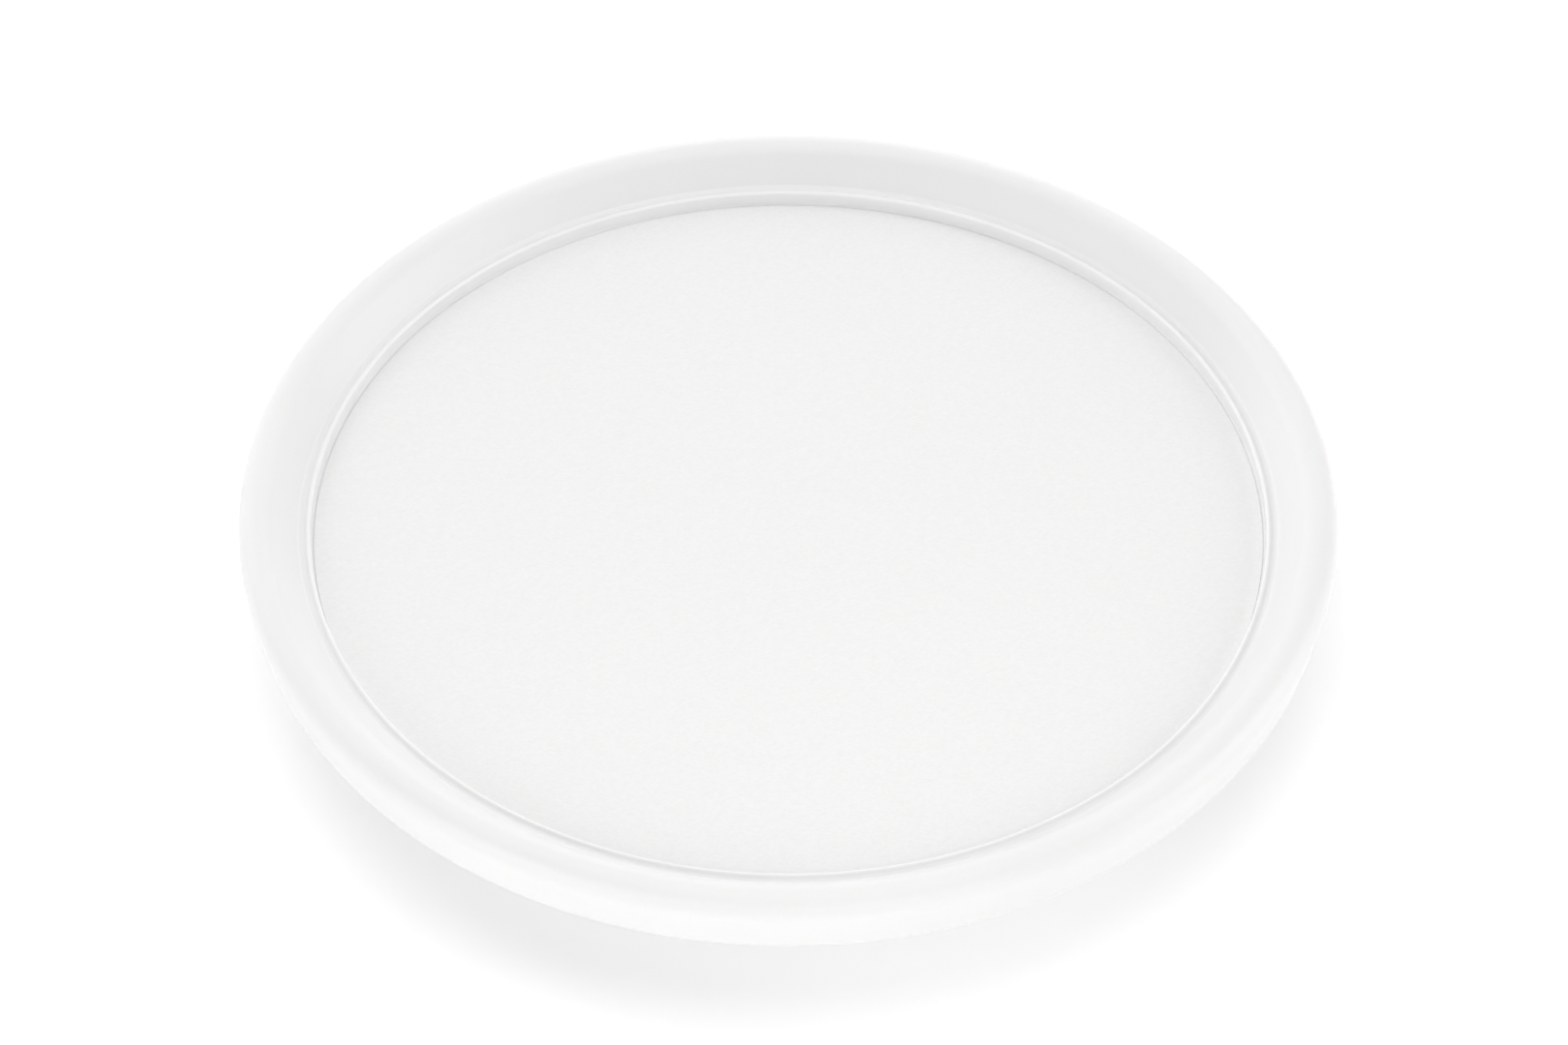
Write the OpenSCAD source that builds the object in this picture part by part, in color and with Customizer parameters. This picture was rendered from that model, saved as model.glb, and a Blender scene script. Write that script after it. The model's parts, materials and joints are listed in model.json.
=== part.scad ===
// Lazy susan turntable: a white tray with a rolled rim that turns on a ring of steel balls.
// The origin is on the surface that the feet stand on, at the centre of turning, +Z up.

/* [Tray] */
// Outer diameter of the tray over its rolled rim
tray_d = 267; // [230:1:310]
// Width of the rim, from the edge of the floor to the outside of the roll
rim_w = 17.5; // [16.5:0.5:24]
// Height of the rim's crest above the floor mat
crest_h = 11.5; // [8:0.1:12]
// Radius of the roll along the crest of the rim
roll_r = 5; // [4:0.1:5.2]
// How far the outer wall of the rim hangs below the top of the mat
rim_drop = 4.4; // [3:0.1:6]
// How far the outer wall leans in towards its lower edge
rim_lean = 2; // [1:0.1:3]
// Wall thickness of the tray
tray_wall = 2.4; // [2:0.1:3]
// Height of the small lip round the floor, above the mat
lip_h = 3.8; // [2.5:0.1:4.5]
// Radius of the rounded top of that lip
lip_r = 0.75; // [0.5:0.05:1]
// Depth of the valley between the lip and the slope of the rim
valley_d = 0.6; // [0.4:0.05:1]
// Radius of the bottom of that valley
valley_r = 0.8; // [0.5:0.05:1.2]

/* [Floor mat] */
// Thickness of the non-slip mat
mat_t = 1.2; // [0.8:0.1:2]
// Radius of the mat's rounded top edge
mat_edge_r = 0.3; // [0.2:0.1:0.6]

/* [Base] */
// Outer diameter of the base at its lower edge
base_d = 190; // [170:1:210]
// How far the outer wall of the base leans in towards its top
base_lean = 3.5; // [2:0.5:5]
// Wall thickness of the base
base_wall = 2.4; // [2:0.1:3]
// Height of the deck's top above the surface that the feet stand on
deck_z = 11; // [10.5:0.1:14]
// How far the outer wall of the base rises above its deck
base_rise = 8; // [5:0.5:8]
// Thickness of the stiffening ribs of the base and the tray
rib_t = 1.6; // [1.2:0.1:2]
// Number of radial ribs under the base and under the tray
rib_n = 12; // [6:6:18]

/* [Ball bearing] */
// Number of balls
ball_n = 12; // [8:1:16]
// Diameter of one ball
ball_d = 6.35; // [5.5:0.05:7.7]
// Diameter of the circle on which the centres of the balls run
pitch_d = 124; // [100:1:136]
// Thickness of each race ring
race_t = 2.4; // [2:0.1:3]
// Width of each race ring
race_w = 14; // [12:0.5:16]
// Depth of the ball groove in each race ring
groove_d = 1.2; // [0.8:0.1:1.4]
// Width of the cage
cage_w = 13; // [12.5:0.5:14]
// Wall of the cage round each pocket
pocket_wall = 1.6; // [1:0.1:2]

/* [Pivot] */
// Diameter of the screw's plain shoulder
pin_d = 6; // [5:0.1:8]
// Diameter of the screw's thread
thread_d = 4; // [3:0.1:4.8]
// Length of thread in the hub of the tray
thread_l = 6; // [4:0.1:7.2]
// Wall of the tray's hub round that thread
hub_wall = 5; // [3:0.1:6]
// Diameter of the screw's head
head_d = 13; // [11:0.5:16]
// Thickness of the screw's head
head_t = 2; // [1.6:0.1:2.4]
// Thickness of the washer under the centre boss
washer_t = 1; // [0.8:0.1:1.4]
// Wall thickness of the pivot bush
bush_wall = 1.8; // [1.4:0.1:2.4]
// Thickness of the flange of the pivot bush
bush_flange_t = 1.2; // [1:0.1:1.6]

/* [Feet and cap] */
// Number of rubber feet
foot_n = 6; // [4:1:8]
// Diameter of one foot
foot_d = 15; // [12:0.5:18]
// Thickness of one foot
foot_t = 3.6; // [3:0.1:4.5]
// How far the feet stand proud of the lower edge of the base
foot_proud = 1.4; // [1:0.1:1.8]
// Distance from the lower edge of the base to the middle of a foot
foot_inset = 15; // [13:0.5:20]
// Thickness of the cap that closes the screw well
cap_t = 1.2; // [1:0.1:1.4]

/* [Fits] */
// Gap left all round between the mat and the tray
mat_gap = 0.1; // [0.05:0.05:0.4]
// Gap between the groove of a race and the ball that runs in it
race_gap = 0.08; // [0.05:0.01:0.15]
// Gap between a ball and its pocket in the cage
pocket_gap = 0.22; // [0.15:0.01:0.3]
// Gap between the cage and each race ring
cage_gap = 0.55; // [0.4:0.05:0.7]
// Radial gap between the screw's shoulder and the bush
pin_gap = 0.06; // [0.03:0.01:0.1]
// Gap endways between what turns at the pivot and what stands still
end_gap = 0.3; // [0.2:0.05:0.5]
// Gap between a pressed or seated piece and its socket
seat_gap = 0.05; // [0.02:0.01:0.1]
// Gap between the turning tray and the wall of the base, sideways and upwards
skirt_gap = 2.2; // [1.5:0.1:3]

/* [Hidden] */
$fn = 96;
cut = 1;        // how far a cutting shape runs past what it cuts
weld = 0.2;     // how far ribs and posts run into what they stand on
arc_n = 12;     // steps of a large arc in a turned outline
edge_n = 6;     // steps of a small one

// Bearing stack, upwards from the deck: lower race, balls in their cage, upper race
ball_r = ball_d / 2;
pitch_r = pitch_d / 2;
groove_r = ball_r + race_gap;
race_z = deck_z + seat_gap;
ball_z = race_z + race_t - groove_d + groove_r;
race_up_z = ball_z + groove_r - groove_d;
seat_z = race_up_z + race_t + seat_gap;
cage_t = 2 * (groove_r - groove_d - cage_gap);
cage_web_t = cage_t * 0.55;
seat_lip_h = 1.2;
seat_lip_w = 2;
race_edge = 0.4;

// Base, with its wall leaning in as it rises
base_r = base_d / 2;
base_low_z = foot_proud;
base_top_z = deck_z + base_rise;
deck_low_z = deck_z - base_wall;
rib_low_z = base_low_z + 1.6;
function wall_r(z) = base_r - base_lean * (z - base_low_z) / (base_top_z - base_low_z);

// Tray: the plate clears the wall of the base and holds the seat of the upper race
tray_rib_h = 2;
plate_low_z = max(base_top_z + skirt_gap + tray_rib_h, seat_z + tray_rib_h);
plate_z = plate_low_z + tray_wall;
floor_z = plate_z + mat_t;
tray_r = tray_d / 2;
floor_r = tray_r - rim_w;
mat_r = floor_r - mat_gap;
skirt_low_z = deck_z + 3;
skirt_in_r = wall_r(skirt_low_z) + skirt_gap;
skirt_out_r = skirt_in_r + tray_wall;

// Rim, outwards: lip, valley, straight slope, roll, outer wall, rounded lower edge
lip_c = [floor_r + lip_r, floor_z + lip_h - lip_r];
lip_fall = 30;
fall_l = (valley_d - (lip_r + valley_r) * (1 - cos(lip_fall))) / sin(lip_fall);
valley_c = lip_c + (lip_r + valley_r) * [sin(lip_fall), cos(lip_fall)]
    + fall_l * [cos(lip_fall), -sin(lip_fall)];
roll_c = [tray_r - roll_r, floor_z + crest_h - roll_r];
slope_v = roll_c - valley_c;
slope_a = atan2(slope_v[1], slope_v[0]) + asin((valley_r + roll_r) / norm(slope_v));
edge_r = tray_wall / 2;
edge_c = [tray_r - rim_lean - edge_r, floor_z - rim_drop + edge_r];

// Pivot, upwards: cap, screw head, washer, boss with its bush, hub of the tray
pin_r = pin_d / 2;
thread_r = thread_d / 2;
head_r = head_d / 2;
washer_r = head_r + 1;
bush_in_r = pin_r + pin_gap;
bush_out_r = bush_in_r + bush_wall;
bush_flange_r = bush_out_r + 2.4;
boss_r = bush_out_r + seat_gap + 3.6;
boss_top_z = deck_z + 2.6;
cap_top_z = base_low_z + cap_t;
head_z = cap_top_z + end_gap;
washer_z = head_z + head_t;
boss_low_z = washer_z + washer_t + end_gap;
hub_z = boss_top_z + bush_flange_t + end_gap;
hub_r = thread_r + hub_wall;
well_wall = 2;
cap_r = max(washer_r, boss_r) + 6;
cap_ring_w = 1.6;
cap_ring_h = 3;
well_r = cap_r + seat_gap;
drive_l = head_d * 0.5;
drive_w = 1.1;

// Feet
foot_r = foot_d / 2;
foot_pitch_r = base_r - foot_inset;
foot_edge = 0.6;
socket_wall = 2;

function ball_name(i) = str("ball_", i < 10 ? "0" : "", i);
function foot_name(i) = str("foot_", i);

// Points of an arc about c from angle a0 to angle a1, in n steps
function arc(c, r, a0, a1, n) =
    [for (i = [0 : n]) let (a = a0 + (a1 - a0) * i / n) c + r * [cos(a), sin(a)]];

module disc(r, z0, z1) {
    translate([0, 0, z0]) cylinder(r = r, h = z1 - z0);
}

module ring(r_in, r_out, z0, z1) {
    difference() {
        disc(r_out, z0, z1);
        disc(r_in, z0 - cut, z1 + cut);
    }
}

// Puts its children at n places round a circle of radius r
module around(n, r, turn = 0) {
    for (i = [0 : n - 1])
        rotate([0, 0, i * 360 / n + turn]) translate([r, 0, 0]) children();
}

// Radial ribs between two radii and two heights, halfway between the feet
module ribs(r_in, r_out, z0, z1) {
    around(rib_n, r_in, 180 / rib_n)
        translate([0, -rib_t / 2, z0]) cube([r_out - r_in, rib_t, z1 - z0]);
}

// A flat ring of steel with eased edges and a ball groove in one face
module race(z0) {
    r_in = pitch_r - race_w / 2;
    r_out = pitch_r + race_w / 2;
    z1 = z0 + race_t;
    rotate_extrude()
        difference() {
            polygon([[r_in + race_edge, z0], [r_out - race_edge, z0], [r_out, z0 + race_edge],
                     [r_out, z1 - race_edge], [r_out - race_edge, z1],
                     [r_in + race_edge, z1], [r_in, z1 - race_edge], [r_in, z0 + race_edge]]);
            translate([pitch_r, ball_z]) circle(r = groove_r);
        }
}

// Two low rings that hold a race between them
module race_seat(z0, z1) {
    r_in = pitch_r - race_w / 2 - seat_gap;
    r_out = pitch_r + race_w / 2 + seat_gap;
    ring(r_in - seat_lip_w, r_in, z0, z1);
    ring(r_out, r_out + seat_lip_w, z0, z1);
}

// The turned shell of the tray: plate, lip, valley, slope, roll and outer wall
module tray_shell() {
    slope_low = valley_c + (valley_r + tray_wall) * [sin(slope_a), -cos(slope_a)];
    rotate_extrude()
        polygon(concat(
            [[0, plate_z], [floor_r, plate_z]],
            arc(lip_c, lip_r, 180, 90 - lip_fall, edge_n),
            arc(valley_c, valley_r, 270 - lip_fall, 270 + slope_a, edge_n),
            arc(roll_c, roll_r, 90 + slope_a, 0, arc_n),
            arc(edge_c, edge_r, 0, -180, edge_n),
            arc(roll_c, roll_r - tray_wall, 0, 90 + slope_a, arc_n),
            [slope_low, [floor_r + tray_wall, plate_low_z], [0, plate_low_z]]));
}

module tray() {
    seat_in_r = pitch_r - race_w / 2 - seat_gap - seat_lip_w;
    seat_out_r = pitch_r + race_w / 2 + seat_gap + seat_lip_w;
    color("white")
        difference() {
            union() {
                tray_shell();
                disc(hub_r, hub_z, plate_low_z + weld);
                ring(seat_in_r, seat_out_r, seat_z, plate_low_z + weld);
                race_seat(seat_z - seat_lip_h, seat_z + weld);
                ring(skirt_in_r, skirt_out_r, skirt_low_z, plate_low_z + weld);
                ribs(hub_r - weld, skirt_in_r + weld, plate_low_z - tray_rib_h,
                     plate_low_z + weld);
            }
            disc(thread_r + seat_gap, hub_z - cut, hub_z + thread_l + end_gap);
        }
}

module floor_mat() {
    color("whitesmoke")
        rotate_extrude()
            polygon(concat(
                [[0, plate_z], [mat_r, plate_z]],
                arc([mat_r - mat_edge_r, floor_z - mat_edge_r], mat_edge_r, 0, 90, edge_n),
                [[0, floor_z]]));
}

module upper_race() {
    color("silver") race(race_up_z);
}

module lower_race() {
    color("silver") race(race_z);
}

// Retainer with a raised round boss and a snap-in pocket for each ball
module ball_cage() {
    color("ivory")
        difference() {
            union() {
                ring(pitch_r - cage_w / 2, pitch_r + cage_w / 2,
                     ball_z - cage_web_t / 2, ball_z + cage_web_t / 2);
                around(ball_n, pitch_r)
                    disc(ball_r + pocket_gap + pocket_wall, ball_z - cage_t / 2,
                         ball_z + cage_t / 2);
            }
            around(ball_n, pitch_r)
                translate([0, 0, ball_z]) sphere(r = ball_r + pocket_gap);
        }
}

module ball(i) {
    color("lightgray")
        rotate([0, 0, (i - 1) * 360 / ball_n])
            translate([pitch_r, 0, ball_z]) sphere(r = ball_r);
}

// The turned shell of the base: wall with rounded edges, and the deck inside it
module base_shell() {
    r = base_wall / 2;
    rotate_extrude()
        polygon(concat(
            [[0, deck_low_z], [wall_r(deck_low_z) - base_wall, deck_low_z]],
            arc([wall_r(base_low_z + r) - r, base_low_z + r], r, 180, 360, edge_n),
            arc([wall_r(base_top_z - r) - r, base_top_z - r], r, 0, 180, edge_n),
            [[wall_r(deck_z) - base_wall, deck_z], [0, deck_z]]));
}

module base() {
    socket_r = foot_r + seat_gap;
    socket_z = foot_t + seat_gap;
    color("white")
        difference() {
            union() {
                base_shell();
                race_seat(deck_z - weld, deck_z + seat_lip_h);
                disc(boss_r, boss_low_z, boss_top_z);
                ring(well_r, well_r + well_wall, base_low_z, deck_low_z + weld);
                ring(pitch_r - rib_t / 2, pitch_r + rib_t / 2, rib_low_z, deck_low_z + weld);
                ribs(well_r + well_wall - weld, wall_r(deck_low_z) - base_wall / 2,
                     rib_low_z, deck_low_z + weld);
                around(foot_n, foot_pitch_r)
                    disc(socket_r + socket_wall, base_low_z, deck_low_z + weld);
            }
            disc(bush_out_r + seat_gap, boss_low_z - cut, boss_top_z + cut);
            around(foot_n, foot_pitch_r) disc(socket_r, base_low_z - cut, socket_z);
        }
}

module pivot_bush() {
    color("ivory")
        difference() {
            union() {
                disc(bush_out_r, boss_low_z, boss_top_z + bush_flange_t);
                disc(bush_flange_r, boss_top_z, boss_top_z + bush_flange_t);
            }
            disc(bush_in_r, boss_low_z - cut, hub_z);
        }
}

module thrust_washer() {
    color("silver") ring(bush_in_r + pin_gap, washer_r, washer_z, washer_z + washer_t);
}

// Shoulder screw with a cross recess in its head
module pivot_screw() {
    color("gray")
        difference() {
            union() {
                disc(head_r, head_z, head_z + head_t);
                disc(pin_r, head_z, hub_z);
                disc(thread_r, head_z, hub_z + thread_l);
            }
            for (a = [0, 90])
                rotate([0, 0, a])
                    translate([-drive_l / 2, -drive_w / 2, head_z - cut])
                        cube([drive_l, drive_w, cut + head_t / 2]);
        }
}

// Cap with a ring that snaps into the well, and a slot to prise it out
module screw_cap() {
    color("white")
        difference() {
            union() {
                disc(cap_r, base_low_z, cap_top_z);
                ring(cap_r - cap_ring_w, cap_r, base_low_z, cap_top_z + cap_ring_h);
            }
            translate([-drive_l, -drive_w / 2, base_low_z - cut])
                cube([2 * drive_l, drive_w, cut + cap_t / 2]);
        }
}

module foot(i) {
    color("gray")
        rotate([0, 0, (i - 1) * 360 / foot_n])
            translate([foot_pitch_r, 0, 0])
                rotate_extrude()
                    polygon([[0, 0], [foot_r - foot_edge, 0], [foot_r, foot_edge],
                             [foot_r, foot_t], [0, foot_t]]);
}

tray();
floor_mat();
upper_race();
pivot_screw();
thrust_washer();
ball_cage();
base();
lower_race();
pivot_bush();
screw_cap();
for (i = [1 : ball_n]) ball(i);
for (i = [1 : foot_n]) foot(i);
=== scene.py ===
"""Looks of a white lazy susan turntable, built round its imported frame.

Every sub-assembly is a class that turns, presses or moulds its own meshes in metres, in the frame's
own place, and dresses them in a procedural finish. The frame's plain solids are hidden behind them.
"""

import json
import logging
import math
from abc import ABC, abstractmethod
from dataclasses import dataclass, field
from enum import Enum
from typing import Iterable, Sequence

import bmesh
import bpy
from bmesh.types import BMesh, BMFace, BMVert
from bpy.types import NodeSocket as Socket
from mathutils import Matrix, Vector

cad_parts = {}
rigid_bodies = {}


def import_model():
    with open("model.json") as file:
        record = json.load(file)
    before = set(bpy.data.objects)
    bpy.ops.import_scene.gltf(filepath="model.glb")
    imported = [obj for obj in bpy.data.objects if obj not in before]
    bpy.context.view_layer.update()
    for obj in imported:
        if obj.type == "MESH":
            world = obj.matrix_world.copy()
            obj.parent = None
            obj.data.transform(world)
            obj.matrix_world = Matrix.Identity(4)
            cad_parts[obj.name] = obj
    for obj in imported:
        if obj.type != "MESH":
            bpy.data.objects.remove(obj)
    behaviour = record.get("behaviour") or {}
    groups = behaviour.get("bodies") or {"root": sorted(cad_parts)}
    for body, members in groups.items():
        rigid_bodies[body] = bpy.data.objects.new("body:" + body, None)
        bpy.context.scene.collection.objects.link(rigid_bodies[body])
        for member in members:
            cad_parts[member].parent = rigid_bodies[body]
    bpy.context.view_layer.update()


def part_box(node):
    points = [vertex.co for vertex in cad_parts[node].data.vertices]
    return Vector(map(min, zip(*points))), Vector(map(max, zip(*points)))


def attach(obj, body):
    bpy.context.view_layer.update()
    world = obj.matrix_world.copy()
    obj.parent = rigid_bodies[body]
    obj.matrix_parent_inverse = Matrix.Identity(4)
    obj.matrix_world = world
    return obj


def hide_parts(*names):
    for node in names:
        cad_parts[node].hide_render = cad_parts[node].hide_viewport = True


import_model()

MM = 0.001
FULL_TURN = 2 * math.pi
MERGE = 1e-7
SHORTEST_STEP = 0.15 * MM
SHARP_ANGLE = 38.0
FIT = 0.05 * MM
PLAY = 0.3 * MM
MAT_GAP = 0.03 * MM
WELD = 0.2 * MM
PITCH_R = 62.0 * MM
RACE_W = 14.0 * MM
PIN_R = 3.0 * MM
PIN_GAP = 0.06 * MM
BUSH_R = PIN_R + PIN_GAP + 1.8 * MM
RIB_T = 1.6 * MM
RIB_COUNT = 12
SEAT_LIP_H = 1.2 * MM
SEAT_LIP_W = 2.0 * MM
BASE_LEAN = 3.5 * MM
TRAY_WHITE = (0.82, 0.82, 0.818)
MAT_WHITE = (0.845, 0.845, 0.84)
TABLE_WHITE = (0.86, 0.86, 0.86)
LOG = logging.getLogger("turntable")
Triple = tuple[float, float, float]


class Body(Enum):
    """The bodies of the frame that pieces ride on."""

    BASE = "base"
    CAGE = "cage"
    TRAY = "tray"


class Facing(Enum):
    """Which way a level face looks."""

    UP = 1
    DOWN = -1


def base_wall_r(z: float) -> float:
    """Returns the outer radius of the base's leaning wall at a height."""
    low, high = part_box("base")
    return high.x - BASE_LEAN * (z - low.z) / (high.z - low.z)


def foot_r() -> float:
    """Returns the radius of a foot."""
    low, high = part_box("foot_1")
    return (high.y - low.y) / 2


# ---------------------------------------------------------------- mesh helpers


@dataclass(frozen=True)
class Corner:
    """One corner of a turned outline.

    Args:
        r: Distance from the turning axis, in metres.
        z: Height, in metres.
        fillet: Radius that rounds the corner, or 0 for a sharp one.
    """

    r: float
    z: float
    fillet: float = 0.0


def direction(degrees: float) -> Vector:
    """Returns the unit vector of an outline at that angle above the outward radius."""
    return Vector((math.cos(math.radians(degrees)), math.sin(math.radians(degrees))))


def meet(p: Vector, p_way: Vector, q: Vector, q_way: Vector) -> Vector:
    """Finds where two straight stretches of an outline would cross.

    Args:
        p: A point on the first line.
        p_way: The first line's direction.
        q: A point on the second line.
        q_way: The second line's direction.

    Returns:
        The crossing point.
    """
    gap = q - p
    across = p_way.x * q_way.y - p_way.y * q_way.x
    along = (gap.x * q_way.y - gap.y * q_way.x) / across
    return p + along * p_way


def outline(corners: Sequence[Corner], closed: bool, fine: float) -> BMesh:
    """Draws a turned outline as wire in the XZ plane and rounds its corners.

    Args:
        corners: The outline's corners in order.
        closed: Whether the last corner joins the first.
        fine: Degrees of turn for each step of a rounded corner.

    Returns:
        A new bmesh that holds the wire.
    """
    bm = bmesh.new()
    verts = [bm.verts.new((c.r, 0, c.z)) for c in corners]
    count = len(verts)
    for i in range(count if closed else count - 1):
        bm.edges.new((verts[i], verts[(i + 1) % count]))
    for i, corner in enumerate(corners):
        if corner.fillet <= 0:
            continue
        here, before, after = (Vector((c.r, c.z)) for c in (corner, corners[i - 1],
                                                           corners[(i + 1) % count]))
        turn = math.pi - (before - here).angle(after - here)
        steps = min(math.degrees(turn) / fine, turn * corner.fillet / SHORTEST_STEP)
        bmesh.ops.bevel(
            bm, geom=[verts[i]], offset=corner.fillet * math.tan(turn / 2),
            offset_type="ABSOLUTE", segments=max(2, round(steps)), profile=0.5,
            affect="VERTICES", material=-1)
    bmesh.ops.remove_doubles(bm, verts=bm.verts[:], dist=MERGE)
    return bm


def turned(corners: Sequence[Corner], steps: int = 192, closed: bool = True,
           fine: float = 12.0) -> BMesh:
    """Turns an outline about the upright axis.

    Args:
        corners: The outline's corners in order; an open one starts and ends on the axis.
        steps: Number of steps round the turn.
        closed: Whether the outline closes on itself away from the axis.
        fine: Degrees of turn for each step of a rounded corner.

    Returns:
        A closed mesh with its faces pointing outwards.
    """
    bm = outline(corners, closed, fine)
    bmesh.ops.spin(bm, geom=bm.verts[:] + bm.edges[:], cent=(0, 0, 0), axis=(0, 0, 1),
                   angle=FULL_TURN, steps=steps, use_merge=True, use_duplicate=False)
    bmesh.ops.remove_doubles(bm, verts=bm.verts[:], dist=MERGE)
    bmesh.ops.recalc_face_normals(bm, faces=bm.faces[:])
    return bm


def mesh_of(name: str, bm: BMesh) -> bpy.types.Mesh:
    """Turns a bmesh into a mesh with a name, and frees it."""
    mesh = bpy.data.meshes.new(name)
    bm.to_mesh(mesh)
    bm.free()
    return mesh


def shown(name: str, data: bpy.types.ID) -> bpy.types.Object:
    """Puts data into the scene as an object with a name, and returns it."""
    thing = bpy.data.objects.new(name, data)
    bpy.context.scene.collection.objects.link(thing)
    return thing


def pulled(bm: BMesh, faces: Sequence[BMFace], by: Vector) -> None:
    """Extrudes faces and moves the new ones."""
    new = bmesh.ops.extrude_face_region(bm, geom=faces)["geom"]
    bmesh.ops.translate(bm, vec=by, verts=[v for v in new if isinstance(v, BMVert)])


def moved(bm: BMesh, to: Vector) -> BMesh:
    """Moves a mesh and returns it."""
    bmesh.ops.translate(bm, vec=to, verts=bm.verts[:])
    return bm


def swung(bm: BMesh, degrees: float) -> BMesh:
    """Swings a mesh about the upright axis and returns it."""
    bmesh.ops.rotate(bm, cent=(0, 0, 0), matrix=Matrix.Rotation(math.radians(degrees), 3, "Z"),
                     verts=bm.verts[:])
    return bm


def joined(parts: Iterable[BMesh]) -> BMesh:
    """Joins several meshes into one and frees them.

    Args:
        parts: The meshes to join.

    Returns:
        A new mesh that holds them all.
    """
    whole = bmesh.new()
    for part in parts:
        step = mesh_of("step", part)
        whole.from_mesh(step)
        bpy.data.meshes.remove(step)
    return whole


def ring_of(make: BMesh, count: int, start: float = 0.0, at: float = 0.0) -> BMesh:
    """Repeats a mesh round the upright axis.

    Args:
        make: The mesh of one copy, which is freed.
        count: Number of copies.
        start: Angle of the first copy, in degrees.
        at: How far the copies are moved out from the axis.

    Returns:
        A new mesh that holds every copy.
    """
    swung(moved(make, Vector((at, 0, 0))), start)
    copies = [swung(make.copy(), i * 360 / count) for i in range(count)]
    make.free()
    return joined(copies)


def spokes(inner: float, outer: float, low: float, high: float) -> BMesh:
    """Moulds the radial ribs under a plate.

    Args:
        inner: Radius where they start.
        outer: Radius where they end.
        low: Height of their lower edges.
        high: Height of their upper edges.

    Returns:
        The ribs as one mesh.
    """
    one = bmesh.new()
    bmesh.ops.create_cube(one, size=1.0)
    bmesh.ops.scale(one, vec=(outer - inner, RIB_T, high - low), verts=one.verts[:])
    bmesh.ops.bevel(one, geom=one.edges[:], offset=0.3 * MM, offset_type="OFFSET", segments=3,
                    profile=0.5, affect="EDGES", material=-1)
    moved(one, Vector(((inner + outer) / 2, 0, (low + high) / 2)))
    return ring_of(one, RIB_COUNT, 180 / RIB_COUNT)


def race_seat(around: float, lip: float, seat: float, fillet: float) -> list[Corner]:
    """Works out the seat of a bearing ring, from its outer lip to its inner one.

    Args:
        around: Height of the face round the seat.
        lip: Height of the lips' rims.
        seat: Height of the face that the ring lies on.
        fillet: Radius between the lips and the face round them.

    Returns:
        The outline's corners in order.
    """
    inner, outer = PITCH_R - RACE_W / 2 - FIT, PITCH_R + RACE_W / 2 + FIT
    side = [(SEAT_LIP_W, around, fillet), (SEAT_LIP_W, lip, 0.4 * MM), (0, lip, 0.3 * MM),
            (0, seat, 0.15 * MM)]
    return ([Corner(outer + out, z, r) for out, z, r in side]
            + [Corner(inner - out, z, r) for out, z, r in reversed(side)])


@dataclass(frozen=True)
class MouldMark:
    """A row of round marks that ejector pins or gates leave on a flat face.

    Args:
        at: Distance of the marks from the axis.
        radius: Radius of one mark.
        rise: How far it stands proud.
        count: Number of marks in the row.
        start: Angle of the first one, in degrees.
    """

    at: float
    radius: float = 3.0 * MM
    rise: float = 0.15 * MM
    count: int = 12
    start: float = 0.0

    def raised(self, face: float, facing: Facing) -> BMesh:
        """Raises the row from a face at a height that looks up or down, and returns it."""
        low, high = sorted((face - facing.value * WELD, face + facing.value * self.rise))
        one = turned([Corner(0, low), Corner(self.radius, low, 0.1 * MM),
                      Corner(self.radius, high, 0.1 * MM), Corner(0, high)],
                     steps=32, closed=False, fine=30.0)
        return ring_of(one, self.count, self.start, self.at)


def sunk(bm: BMesh, z: float, bars: Sequence[tuple[float, float]], depth: float) -> None:
    """Sinks straight slots through the middle of a flat face that looks down.

    Args:
        bm: The mesh to cut.
        z: Height of the flat face.
        bars: Half length along X and half length along Y of each slot.
        depth: How deep the slots go.
    """
    def flat() -> list[BMFace]:
        """Returns the faces that lie in the flat face."""
        return [f for f in bm.faces if f.normal.z < -0.99 and abs(f.calc_center_median().z - z) < MERGE]

    for half_x, half_y in bars:
        for co in ((half_x, 0, 0), (-half_x, 0, 0), (0, half_y, 0), (0, -half_y, 0)):
            faces = flat()
            geom = {g for f in faces for g in (f, *f.edges, *f.verts)}
            bmesh.ops.bisect_plane(bm, geom=list(geom), dist=MERGE, plane_co=co,
                                   plane_no=[abs(c) for c in Vector(co).normalized()])
    inside = []
    for face in flat():
        mid = face.calc_center_median()
        if any(abs(mid.x) < half_x and abs(mid.y) < half_y for half_x, half_y in bars):
            inside.append(face)
    pulled(bm, inside, Vector((0, 0, depth)))
    bmesh.ops.delete(bm, geom=[f for f in inside if f.is_valid], context="FACES")
    bmesh.ops.recalc_face_normals(bm, faces=bm.faces[:])


def mark_edges(mesh: bpy.types.Mesh, sharp: float = 900.0) -> None:
    """Stores how strongly each point bends, for finishes that paint edges lighter (painted highlight and
    wear) and hollows lighter or darker (painted light, painted shade and dust).

    Args:
        mesh: The mesh, which gets a point attribute "bend" from -1, a hollow, to 1, an edge.
        sharp: Curvature, in turns per metre, that counts as a full edge.
    """
    bm = bmesh.new()
    bm.from_mesh(mesh)
    layer = bm.verts.layers.float.new("bend")
    centres = {f.index: f.calc_center_median() for f in bm.faces}
    for vert in bm.verts:
        total = 0.0
        for edge in vert.link_edges:
            if len(edge.link_faces) != 2:
                continue
            one, two = edge.link_faces
            apart = max((centres[one.index] - centres[two.index]).length, 1e-5)
            bend = edge.calc_face_angle_signed(0.0) / apart
            total = bend if abs(bend) > abs(total) else total
        vert[layer] = max(-1.0, min(1.0, total / sharp))
    bm.to_mesh(mesh)
    bm.free()


# ---------------------------------------------------------------- finishes


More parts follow.
